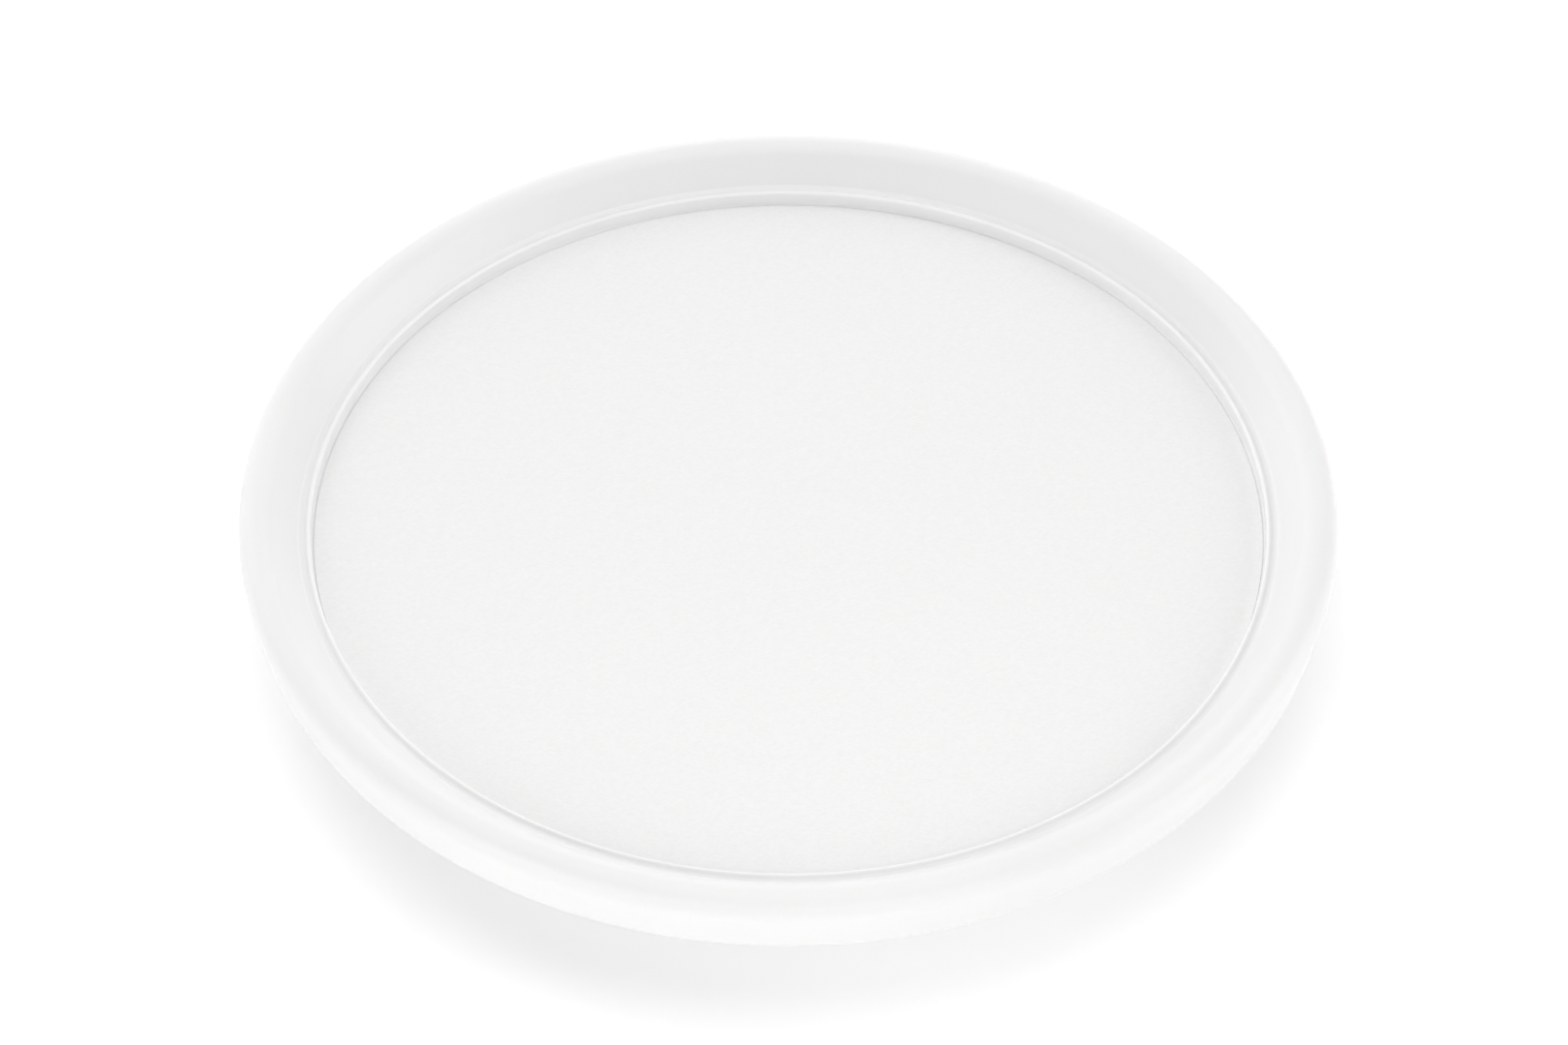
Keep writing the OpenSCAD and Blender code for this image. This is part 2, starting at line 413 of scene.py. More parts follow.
class Graph:
    """A material's node tree, with short calls to add and join nodes."""

    def __init__(self, name: str) -> None:
        """Starts an empty material.

        Args:
            name: The material's name.
        """
        self.material = bpy.data.materials.new(name)
        self.material.use_nodes = True
        self.tree = self.material.node_tree
        self.tree.nodes.clear()
        out = self.tree.nodes.new("ShaderNodeOutputMaterial")
        self.shader = self.tree.nodes.new("ShaderNodeBsdfPrincipled")
        self.tree.links.new(self.shader.outputs[0], out.inputs["Surface"])
        self.place = self.tree.nodes.new("ShaderNodeTexCoord").outputs["Object"]

    def join(self, source: Socket, target: Socket) -> None:
        """Links two sockets."""
        self.tree.links.new(source, target)

    def stretch(self, scale: Triple, turn: float = 0.0) -> Socket:
        """Gives object coordinates stretched, and turned about the upright axis.

        Args:
            scale: Stretch along each axis.
            turn: Turn in degrees.

        Returns:
            The coordinates' socket.
        """
        node = self.tree.nodes.new("ShaderNodeMapping")
        node.inputs["Scale"].default_value = scale
        node.inputs["Rotation"].default_value = (0, 0, math.radians(turn))
        self.join(self.place, node.inputs["Vector"])
        return node.outputs[0]

    def noise(self, scale: float, detail: float = 3.0, rough: float = 0.5,
              at: Socket | None = None) -> Socket:
        """Adds a noise texture.

        Args:
            scale: Cells per metre.
            detail: Number of finer layers.
            rough: Strength of the finer layers.
            at: Coordinates, or None for the object's own.

        Returns:
            The noise value's socket, from 0 to 1.
        """
        node = self.tree.nodes.new("ShaderNodeTexNoise")
        node.inputs["Scale"].default_value = scale
        node.inputs["Detail"].default_value = detail
        node.inputs["Roughness"].default_value = rough
        self.join(at or self.place, node.inputs["Vector"])
        return node.outputs["Fac"]

    def remap(self, value: Socket, low: float, high: float,
              to_low: float, to_high: float) -> Socket:
        """Maps a stretch of values onto another, clamped at both ends.

        Args:
            value: The socket to read.
            low: Value that maps to to_low.
            high: Value that maps to to_high.
            to_low: Lowest output.
            to_high: Highest output.

        Returns:
            The mapped socket.
        """
        node = self.tree.nodes.new("ShaderNodeMapRange")
        for name, number in (("From Min", low), ("From Max", high), ("To Min", to_low),
                             ("To Max", to_high)):
            node.inputs[name].default_value = number
        self.join(value, node.inputs["Value"])
        return node.outputs[0]

    def sum(self, *values: Socket) -> Socket:
        """Adds sockets together.

        Args:
            values: The sockets to add.

        Returns:
            Their sum's socket.
        """
        total = values[0]
        for value in values[1:]:
            node = self.tree.nodes.new("ShaderNodeMath")
            node.operation = "ADD"
            self.join(total, node.inputs[0])
            self.join(value, node.inputs[1])
            total = node.outputs[0]
        return total

    def bend(self) -> Socket:
        """Returns the socket of the stored bend of the surface."""
        node = self.tree.nodes.new("ShaderNodeAttribute")
        node.attribute_name = "bend"
        return node.outputs["Fac"]

    def edges(self, strength: float) -> Socket:
        """Gives a value that grows to a strength on sharp edges."""
        return self.remap(self.bend(), 0.1, 1, 0.0, strength)

    def hollows(self, strength: float) -> Socket:
        """Gives a value that grows to a strength in tight hollows."""
        return self.remap(self.bend(), -1, -0.1, strength, 0.0)

    def paint(self, colour: Triple, *tones: Socket) -> None:
        """Sets the shader's colour.

        Args:
            colour: The base colour.
            tones: Sockets whose sum, near 1, darkens or lightens it.
        """
        node = self.tree.nodes.new("ShaderNodeVectorMath")
        node.operation = "SCALE"
        node.inputs[0].default_value = colour
        self.join(self.sum(*tones), node.inputs["Scale"])
        self.join(node.outputs[0], self.shader.inputs["Base Color"])

    def roughen(self, *values: Socket) -> None:
        """Sets the shader's roughness to a sum of sockets."""
        self.join(self.sum(*values), self.shader.inputs["Roughness"])

    def relief(self, *layers: tuple[Socket, float]) -> None:
        """Sets the shader's bumps, coarsest first.

        Args:
            layers: Height from 0 to 1, and the depth in metres that 1 stands for.
        """
        under = None
        for height, depth in layers:
            node = self.tree.nodes.new("ShaderNodeBump")
            node.inputs["Distance"].default_value = depth
            self.join(height, node.inputs["Height"])
            if under:
                self.join(under, node.inputs["Normal"])
            under = node.outputs[0]
        self.join(under, self.shader.inputs["Normal"])

    def fixed(self, **values: float) -> None:
        """Sets constant shader values by socket name, with underscores for spaces."""
        for name, value in values.items():
            self.shader.inputs[name.replace("_", " ")].default_value = value


@dataclass(frozen=True)
class Finish(ABC):
    """A surface finish that can make its own material.

    Args:
        name: The material's name.
        colour: Base colour.
    """

    name: str
    colour: Triple

    @abstractmethod
    def material(self) -> bpy.types.Material:
        """Builds the finish's node material and returns it."""


@dataclass(frozen=True)
class MouldedPlastic(Finish):
    """Moulded plastic: fine tool texture, faint flow marks, hairline scuffs, and painted light and shade
    on edges and in hollows.

    Args:
        rough: Mean roughness.
        grain: Texture cells per metre.
        grain_depth: Depth of the texture in metres.
        scuff: How much the scuffs change the roughness.
        edge_highlight_and_wear: How much lighter thin edges are painted; a painted highlight, with a
            little wear.
        hollow_light_shade_and_dust: How much lighter tight hollows are painted, as painted light; below 0
            they are painted darker, as painted shade and dust.
        milk: Share of the light that scatters under the surface.
        milk_depth: How far it scatters, in metres.
    """

    rough: float = 0.42
    grain: float = 1900.0
    grain_depth: float = 6e-6
    scuff: float = 0.05
    edge_highlight_and_wear: float = 0.02
    hollow_light_shade_and_dust: float = -0.05
    milk: float = 0.0
    milk_depth: float = 1.2 * MM

    def material(self) -> bpy.types.Material:
        """Builds the plastic's node material and returns it."""
        g = Graph(self.name)
        flow = g.noise(28, 2)
        fine = g.noise(self.grain, 3, 0.6)
        scratch = g.noise(1.0, 2, 0.5, g.stretch((35, 2600, 35), 23))
        cross = g.noise(1.0, 2, 0.5, g.stretch((2100, 28, 28), 8))
        # Edges are painted lighter, a painted highlight with a little wear; hollows are painted lighter
        # as painted light, and below 0 darker as painted shade and dust.
        g.paint(self.colour, g.remap(flow, 0.3, 0.7, 0.985, 1.0),
                g.remap(fine, 0.35, 0.65, -0.006, 0.006), g.hollows(self.hollow_light_shade_and_dust),
                g.edges(self.edge_highlight_and_wear))
        g.roughen(g.remap(flow, 0.3, 0.7, self.rough - 0.03, self.rough + 0.03),
                  g.remap(scratch, 0.62, 0.72, 0.0, self.scuff),
                  g.remap(cross, 0.64, 0.74, 0.0, self.scuff), g.edges(-0.08), g.hollows(0.08))
        g.relief((g.noise(90, 1), 2e-5), (fine, self.grain_depth))
        g.fixed(IOR=1.49, Subsurface_Weight=self.milk, Subsurface_Scale=self.milk_depth)
        g.shader.inputs["Subsurface Radius"].default_value = (1.0, 0.96, 0.92)
        return g.material


@dataclass(frozen=True)
class MatGrain(Finish):
    """Soft non-slip sheet with a fine pebbled grain and hardly any shine.

    Args:
        grain: Pebbles per metre.
        depth: Depth of the pebbles in metres.
    """

    grain: float = 1700.0
    depth: float = 4.2e-5

    def material(self) -> bpy.types.Material:
        """Builds the mat's node material and returns it."""
        g = Graph(self.name)
        pebbles = g.noise(self.grain, 2, 0.6, g.stretch((0.7, 1, 1)))
        fibres = g.noise(1.0, 3, 0.6, g.stretch((420, 1500, 900)))
        blotch = g.noise(22, 3, 0.55)
        # Tight hollows are painted darker: painted shade and dust.
        g.paint(self.colour, g.remap(blotch, 0.25, 0.75, 0.995, 1.002),
                g.remap(pebbles, 0.3, 0.7, -0.026, 0.016), g.remap(fibres, 0.3, 0.7, -0.008, 0.008),
                g.hollows(-0.06))
        g.roughen(g.remap(pebbles, 0.3, 0.7, 0.86, 0.74), g.remap(blotch, 0.3, 0.7, -0.04, 0.04))
        g.relief((fibres, 1.2e-5), (pebbles, self.depth))
        g.fixed(IOR=1.45, Specular_IOR_Level=0.35)
        return g.material


@dataclass(frozen=True)
class TurnedSteel(Finish):
    """Steel with the tool's turning marks, small spots and brighter worn edges.

    Args:
        rough: Mean roughness.
        marks: Turning marks per metre of radius, or 0 for none.
        depth: Depth of the marks in metres.
    """

    rough: float = 0.3
    marks: float = 5200.0
    depth: float = 2.5e-6

    def material(self) -> bpy.types.Material:
        """Builds the steel's node material and returns it."""
        g = Graph(self.name)
        tarnish = g.noise(60, 4, 0.6)
        spots = g.noise(900, 2, 0.5)
        # Tight hollows are painted darker: painted shade and dust; edges are lighter from wear.
        g.paint(self.colour, g.remap(tarnish, 0.3, 0.7, 0.9, 1.02),
                g.remap(spots, 0.68, 0.78, 0.0, -0.08), g.edges(0.1), g.hollows(-0.15))
        g.roughen(g.remap(tarnish, 0.3, 0.7, self.rough + 0.05, self.rough - 0.05),
                  g.remap(spots, 0.6, 0.75, 0.0, 0.12), g.edges(-0.08))
        g.relief((self.lines(g), self.depth))
        g.fixed(Metallic=1.0)
        return g.material

    def lines(self, g: Graph) -> Socket:
        """Adds the fine rings that a lathe leaves about the upright axis.

        Args:
            g: The material's graph.

        Returns:
            The rings' height socket.
        """
        if self.marks <= 0:
            return g.noise(2500, 2, 0.5)
        length = g.tree.nodes.new("ShaderNodeVectorMath")
        length.operation = "LENGTH"
        g.join(g.stretch((1, 1, 0)), length.inputs[0])
        rings = g.tree.nodes.new("ShaderNodeTexNoise")
        rings.noise_dimensions = "1D"
        rings.inputs["Scale"].default_value = self.marks
        g.join(length.outputs["Value"], rings.inputs["W"])
        return rings.outputs["Fac"]


@dataclass(frozen=True)
class Rubber(Finish):
    """Matt rubber with a soft bloom and dusty hollows."""

    def material(self) -> bpy.types.Material:
        """Builds the rubber's node material and returns it."""
        g = Graph(self.name)
        bloom = g.noise(240, 4, 0.65)
        fine = g.noise(3800, 2, 0.6)
        g.paint(self.colour, g.remap(bloom, 0.3, 0.7, 0.85, 1.12), g.hollows(0.3), g.edges(0.15))
        g.roughen(g.remap(bloom, 0.3, 0.7, 0.88, 0.7), g.remap(fine, 0.4, 0.6, 0.0, 0.05))
        g.relief((fine, 1.2e-5))
        g.fixed(IOR=1.5, Specular_IOR_Level=0.4)
        return g.material


# ---------------------------------------------------------------- studio


@dataclass(frozen=True)
class SoftBox:
    """A rectangular soft light.

    Args:
        name: The light's name.
        place: Where its middle is, in metres.
        power: Power in watts.
        size: Width and height in metres.
        aim: The point it faces.
    """

    name: str
    place: Triple
    power: float
    size: tuple[float, float] = (1.6, 1.6)
    aim: Triple = (0, 0, 0)

    def build(self) -> bpy.types.Object:
        """Hangs the light and returns it."""
        data = bpy.data.lights.new(self.name, "AREA")
        data.shape = "RECTANGLE"
        data.size, data.size_y = self.size
        data.energy = self.power
        light = shown(self.name, data)
        light.location = self.place
        away = Vector(self.place) - Vector(self.aim)
        light.rotation_euler = away.to_track_quat("Z", "Y").to_euler()
        return light


@dataclass
class Studio:
    """A pale table in a white room, with soft lights and the camera."""

    floor_z: float = -0.05 * MM
    elevation: float = 45.3
    distance: float = 1.187
    lens: float = 111.4
    shift: tuple[float, float] = (-0.0028, -0.0015)
    floor_size: float = 6.0
    floor_glow: float = 0.26
    room: float = 0.31
    boxes: tuple[SoftBox, ...] = (
        SoftBox("overhead", (0, 0.1, 1.5), 5.7, size=(1.2, 1.2)),
        SoftBox("near_front", (0.05, -0.45, 0.22), 0.43, size=(0.5, 0.25), aim=(0, -0.1, 0.03)),
        SoftBox("low_right", (2.26, 0, 0.82), 23.0),
        SoftBox("low_front_left", (-1.6, -1.6, 0.82), 19.0),
        SoftBox("low_back", (0, 2.26, 0.82), 12.0),
        SoftBox("low_back_left", (-1.6, 1.6, 0.82), 11.0),
        SoftBox("high_back_right", (1.1, 1.1, 1.84), 5.0),
        SoftBox("high_back_left", (-1.1, 1.1, 1.84), 8.5),
    )

    def build(self, target: Vector) -> None:
        """Sets up the table, room, lights and camera.

        Args:
            target: The point that the camera looks at.
        """
        scene = bpy.context.scene
        scene.view_settings.view_transform = "Standard"
        scene.view_settings.look = "None"
        self.build_floor()
        self.build_room()
        for box in self.boxes:
            box.build()
        self.build_camera(target)

    def build_floor(self) -> None:
        """Lays the pale table top."""
        bm = bmesh.new()
        bmesh.ops.create_grid(bm, x_segments=8, y_segments=8, size=self.floor_size / 2)
        moved(bm, Vector((0, 0, self.floor_z)))
        floor = shown("table_top", mesh_of("table_top", bm))
        g = Graph("table_top_white")
        speckle = g.noise(350, 3)
        g.paint(TABLE_WHITE, g.remap(speckle, 0.3, 0.7, 0.99, 1.0))
        g.roughen(g.remap(speckle, 0.3, 0.7, 0.75, 0.85))
        g.fixed(Emission_Strength=self.floor_glow)
        g.shader.inputs["Emission Color"].default_value = (1, 1, 1, 1)
        floor.data.materials.append(g.material)

    def build_room(self) -> None:
        """Fills the room with an even white light."""
        world = bpy.data.worlds.new("white_room")
        world.use_nodes = True
        back = world.node_tree.nodes["Background"]
        back.inputs["Color"].default_value = (1, 1, 1, 1)
        back.inputs["Strength"].default_value = self.room
        bpy.context.scene.world = world

    def build_camera(self, target: Vector) -> None:
        """Places the camera.

        Args:
            target: The point that the camera looks at.
        """
        tilt = math.radians(self.elevation)
        back = Vector((0, -math.cos(tilt), math.sin(tilt)))
        data = bpy.data.cameras.new("camera")
        data.lens = self.lens
        data.shift_x, data.shift_y = self.shift
        data.clip_end = 20.0
        camera = shown("camera", data)
        camera.location = target + back * self.distance
        camera.rotation_euler = back.to_track_quat("Z", "Y").to_euler()
        bpy.context.scene.camera = camera


# ---------------------------------------------------------------- sub-assemblies


@dataclass
class Assembly(ABC):
    """A sub-assembly of the turntable: it builds its pieces and puts them on their bodies."""

    made: list[bpy.types.Object] = field(default_factory=list, init=False)

    @abstractmethod
    def build(self) -> None:
        """Builds every piece of the sub-assembly."""

    def place(self, name: str, bm: BMesh, body: Body, node: str, slot: str,
              material: bpy.types.Material) -> None:
        """Turns a finished mesh into a piece that stands for a node of the frame.

        Args:
            name: The piece's name.
            bm: Its mesh, which is freed.
            body: The body that it rides on.
            node: The frame node that it stands for.
            slot: The record's material slot of its finish; not used.
            material: Its material.
        """
        mesh = mesh_of(name, bm)
        mark_edges(mesh)
        mesh.shade_smooth()
        mesh.set_sharp_from_angle(angle=math.radians(SHARP_ANGLE))
        mesh.materials.append(material)
        piece = shown(name, mesh)
        even = piece.modifiers.new("even_shading", "WEIGHTED_NORMAL")
        even.keep_sharp = True
        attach(piece, body.value)
        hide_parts(node)
        self.made.append(piece)


@dataclass
class TrayMoulding(Assembly):
    """The white tray: floor plate, small lip, valley, slope and a rolled rim, ribbed underneath."""

    wall: float = 2.4 * MM
    foot_r: float = 0.45 * MM
    lip_h: float = 3.8 * MM
    lip_r: float = 0.7 * MM
    lip_fall: float = 25.0
    valley_d: float = 0.45 * MM
    valley_r: float = 1.4 * MM
    roll_r: float = 5.0 * MM
    rim_w: float = 17.5 * MM
    rim_lean: float = 2.0 * MM
    rim_drop: float = 4.4 * MM
    rib_h: float = 2.0 * MM
    hub_r: float = 7.0 * MM
    hub_hole_r: float = 2.05 * MM
    hub_hole_d: float = 6.3 * MM
    skirt_gap: float = 2.2 * MM
    marks: tuple[MouldMark, ...] = (
        MouldMark(36 * MM), MouldMark(83 * MM), MouldMark(104 * MM, radius=2.5 * MM, start=15),
        MouldMark(18 * MM, radius=0.9 * MM, rise=0.45 * MM, count=3, start=30))

    def build(self) -> None:
        """Moulds the tray."""
        # Painted highlight on the tray's lip edges, and painted light that lightens its shaded valley.
        finish = MouldedPlastic("tray_satin_white", TRAY_WHITE, rough=0.42, edge_highlight_and_wear=0.03,
                                hollow_light_shade_and_dust=0.07, milk=0.6)
        under = self.plate_low
        ribs = spokes(self.hub_r - WELD, self.skirt_r + WELD, under - self.rib_h, under + WELD)
        marks = (mark.raised(under, Facing.DOWN) for mark in self.marks)
        tray = joined([self.shell(), ribs, *marks])
        self.place("tray_moulding", tray, Body.TRAY, "tray", "tray", finish.material())

    @property
    def plate_low(self) -> float:
        """Height of the underside of the floor plate."""
        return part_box("floor_mat")[0].z - self.wall

    @property
    def skirt_r(self) -> float:
        """Inner radius of the skirt that hangs round the base's wall."""
        return base_wall_r(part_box("tray")[0].z) + self.skirt_gap

    def shell(self) -> BMesh:
        """Turns the shell of the tray and returns it."""
        plate_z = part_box("floor_mat")[0].z
        corners = [Corner(0, plate_z), *self.rim(), *self.underside()]
        return turned(corners, steps=256, closed=False, fine=6.0)

    def rim(self) -> list[Corner]:
        """Works out the outline from the floor's edge over the rim to the plate's underside.

        Returns:
            The outline's corners in order.
        """
        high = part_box("tray")[1]
        floor_z, plate_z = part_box("floor_mat")[1].z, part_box("floor_mat")[0].z
        floor_r, pocket_r = high.x - self.rim_w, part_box("floor_mat")[1].x + MAT_GAP
        lip_in = floor_r + self.foot_r
        lip_c = Vector((lip_in + self.lip_r, floor_z + self.lip_h - self.lip_r))
        fall = direction(-self.lip_fall)
        lip_top = lip_c + self.lip_r * direction(90 - self.lip_fall)
        reach = (self.lip_r + self.valley_r) * (1 - math.cos(math.radians(self.lip_fall)))
        run = (self.valley_d - reach) / math.sin(math.radians(self.lip_fall))
        valley_c = lip_top + run * fall + self.valley_r * direction(90 - self.lip_fall)
        roll_c = Vector((high.x - self.roll_r, high.z - self.roll_r))
        rise = roll_c - valley_c
        slope = math.degrees(math.atan2(rise.y, rise.x)
                             + math.asin((self.valley_r + self.roll_r) / rise.length))
        lean = math.degrees(math.atan2(self.rim_lean, roll_c.y - floor_z + self.rim_drop))
        up, down = direction(slope), direction(-90 - lean)
        upright, level, knee_way = Vector((0, 1)), Vector((1, 0)), direction(60)
        slope_at = valley_c + self.valley_r * direction(slope - 90)
        wall_at = roll_c + self.roll_r * direction(-lean)
        inner_slope = slope_at + self.wall * direction(slope - 90)
        inner_wall = wall_at - self.wall * direction(-lean)
        top, inner_top = Vector((0, high.z)), Vector((0, high.z - self.wall))
        edge, plate_low = Vector((0, floor_z - self.rim_drop)), Vector((0, self.plate_low))
        knee = meet(inner_slope, up, Vector((floor_r + self.wall, self.plate_low)), knee_way)
        edge_r, inner_roll_r = 0.46 * self.wall, self.roll_r - self.wall
        points = [
            (Vector((pocket_r, plate_z)), 0.1 * MM),
            (Vector((pocket_r, floor_z)), 0.03 * MM),
            (Vector((lip_in, floor_z)), self.foot_r),
            (meet(Vector((lip_in, 0)), upright, lip_top, fall), self.lip_r),
            (meet(lip_top, fall, slope_at, up), self.valley_r),
            (meet(slope_at, up, top, level), self.roll_r),
            (meet(top, level, wall_at, down), self.roll_r),
            (meet(wall_at, down, edge, level), edge_r),
            (meet(inner_wall, down, edge, level), edge_r),
            (meet(inner_top, level, inner_wall, down), inner_roll_r),
            (meet(inner_slope, up, inner_top, level), inner_roll_r),
            (knee, 1.5 * MM),
            (meet(knee, knee_way, plate_low, level), 1.0 * MM),
        ]
        return [Corner(p.x, p.y, r) for p, r in points]

    def underside(self) -> list[Corner]:
        """Works out the outline under the plate: skirt, race seat and hub, in to the axis.

        Returns:
            The outline's corners in order.
        """
        low, hub_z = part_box("tray")[0].z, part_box("pivot_bush")[1].z + PLAY
        plate, seat = self.plate_low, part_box("upper_race")[1].z + FIT
        skirt_in, skirt_out = self.skirt_r, self.skirt_r + self.wall
        return [
            Corner(skirt_out, plate, 0.8 * MM), Corner(skirt_out, low, 0.9 * MM),
            Corner(skirt_in, low, 0.9 * MM), Corner(skirt_in, plate, 0.8 * MM),
            *race_seat(plate, seat - SEAT_LIP_H, seat, 0.6 * MM),
            Corner(self.hub_r, plate, 1.2 * MM), Corner(self.hub_r, hub_z, 0.5 * MM),
            Corner(self.hub_hole_r, hub_z, 0.3 * MM),
            Corner(self.hub_hole_r, hub_z + self.hub_hole_d, 0.2 * MM),
            Corner(0, hub_z + self.hub_hole_d),
        ]


@dataclass
class FloorMat(Assembly):
    """The grained non-slip mat that fills the tray's floor."""

    edge_r: float = 0.1 * MM
    under_r: float = 0.15 * MM
    rings: int = 6

    def build(self) -> None:
        """Cuts the mat."""
        low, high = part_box("floor_mat")
        top = [Corner(high.x * k / self.rings, high.z) for k in range(self.rings)]
        bm = turned([*top, Corner(high.x, high.z, self.edge_r), Corner(high.x, low.z, self.under_r),
                     Corner(0, low.z)], steps=256, closed=False)
        finish = MatGrain("mat_grained_white", MAT_WHITE)
        self.place("non_slip_mat", bm, Body.TRAY, "floor_mat", "mat", finish.material())


@dataclass
class BaseMoulding(Assembly):
    """The white base: leaning wall, deck with the lower race's seat, boss, well, ribs and sockets."""

    wall: float = 2.4 * MM
    rib_lift: float = 1.6 * MM
    boss_wall: float = 3.6 * MM
    boss_rise: float = 2.6 * MM
    well_wall: float = 2.0 * MM
    socket_wall: float = 2.0 * MM
    marks: tuple[MouldMark, ...] = (MouldMark(36 * MM), MouldMark(52 * MM))
    gates: MouldMark = MouldMark(30 * MM, radius=0.9 * MM, rise=0.45 * MM, count=3, start=30)

    def build(self) -> None:
        """Moulds the base."""
        finish = MouldedPlastic("base_matt_white", (0.83, 0.83, 0.82), rough=0.52, grain=1500.0,
                                grain_depth=9e-6)
        low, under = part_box("base")[0].z, self.deck - self.wall
        ribs = spokes(self.well_r + self.well_wall - WELD, base_wall_r(under) - self.wall / 2,
                      low + self.rib_lift, under + WELD)
        marks = (mark.raised(under, Facing.DOWN) for mark in self.marks)
        gates = self.gates.raised(self.deck, Facing.UP)
        base = joined([self.shell(), ribs, self.sockets(), *marks, gates])
        self.place("base_moulding", base, Body.BASE, "base", "base", finish.material())

    @property
    def deck(self) -> float:
        """Height of the deck's upper face."""
        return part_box("lower_race")[0].z - FIT

    @property
    def well_r(self) -> float:
        """Inner radius of the well that the cap snaps into."""
        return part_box("screw_cap")[1].x + FIT

    def shell(self) -> BMesh:
        """Turns the shell of the base and returns it."""
        low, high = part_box("base")
        deck, under = self.deck, self.deck - self.wall
        hole_r, boss_low, boss_top = BUSH_R + FIT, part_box("pivot_bush")[0].z, deck + self.boss_rise
        boss_r, well_r, well_out = hole_r + self.boss_wall, self.well_r, self.well_r + self.well_wall
        rib_in, rib_out = PITCH_R - RIB_T / 2, PITCH_R + RIB_T / 2
        edge_r = 0.46 * self.wall
        corners = [
            Corner(hole_r, boss_low, 0.3 * MM), Corner(boss_r, boss_low, 0.5 * MM),
            Corner(boss_r, under, 0.8 * MM), Corner(well_r, under, 0.5 * MM),
            Corner(well_r, low.z, 0.3 * MM), Corner(well_out, low.z, 0.5 * MM),
            Corner(well_out, under, 0.8 * MM), Corner(rib_in, under, 0.6 * MM),
            Corner(rib_in, low.z + self.rib_lift, 0.4 * MM),
            Corner(rib_out, low.z + self.rib_lift, 0.4 * MM), Corner(rib_out, under, 0.6 * MM),
            Corner(base_wall_r(under) - self.wall, under, 1.0 * MM),
            Corner(base_wall_r(low.z) - self.wall, low.z, edge_r),
            Corner(base_wall_r(low.z), low.z, edge_r),
            Corner(base_wall_r(high.z), high.z, edge_r),
            Corner(base_wall_r(high.z) - self.wall, high.z, edge_r),
            Corner(base_wall_r(deck) - self.wall, deck, 1.2 * MM),
            *race_seat(deck, deck + SEAT_LIP_H, deck, 0.4 * MM),
            Corner(boss_r, deck, 1.0 * MM), Corner(boss_r, boss_top, 0.5 * MM),
            Corner(hole_r, boss_top, 0.3 * MM),
        ]
        return turned(corners, steps=256)

    def sockets(self) -> BMesh:
        """Moulds the round posts that hold the feet and returns them."""
        low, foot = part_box("base")[0].z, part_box("foot_1")
        top, socket_z = self.deck - self.wall + WELD, foot[1].z + FIT
        hole_r = foot_r() + FIT
        one = turned([
            Corner(0, socket_z), Corner(hole_r, socket_z, 0.3 * MM), Corner(hole_r, low, 0.4 * MM),
            Corner(hole_r + self.socket_wall, low, 0.5 * MM), Corner(hole_r + self.socket_wall, top),
            Corner(0, top)], steps=96, closed=False)
        return ring_of(one, Feet.count, at=foot[1].x - foot_r())


@dataclass
class Feet(Assembly):
    """Six round rubber feet with gripping rings, each pushed into a socket of the base."""

    count: int = 6
    edge: float = 0.6 * MM
    grip_d: float = 0.35 * MM
    grip_w: float = 0.55 * MM
    grips: tuple[float, ...] = (2.0 * MM, 3.6 * MM, 5.2 * MM)

    def build(self) -> None:
        """Moulds the feet."""
        material = Rubber("foot_grey_rubber", (0.075, 0.075, 0.078)).material()
        low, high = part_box("foot_1")
        middle = Vector((high.x - foot_r(), 0, 0))
        for i in range(self.count):
            node = f"foot_{i + 1}"
            bm = swung(moved(self.pad(foot_r(), low.z, high.z), middle), i * 360 / self.count)
            self.place(f"rubber_{node}", bm, Body.BASE, node, "foot", material)

    def pad(self, radius: float, low: float, high: float) -> BMesh:
        """Turns one foot about the origin.

        Args:
            radius: Its radius.
            low: Height of the face that it stands on.
            high: Height of its upper face.

        Returns:
            The foot as a closed mesh.
        """
        corners = [Corner(0, low)]
        for at in self.grips:
            for r, z in ((-0.5, 0.0), (-0.3, 1.0), (0.3, 1.0), (0.5, 0.0)):
                corners.append(Corner(at + r * self.grip_w, low + z * self.grip_d, 0.06 * MM))
        corners += [Corner(radius - self.edge, low, 0.2 * MM), Corner(radius, low + self.edge, 0.2 * MM),
                    Corner(radius, high, 0.3 * MM), Corner(0, high)]
        return turned(corners, steps=96, closed=False, fine=20.0)


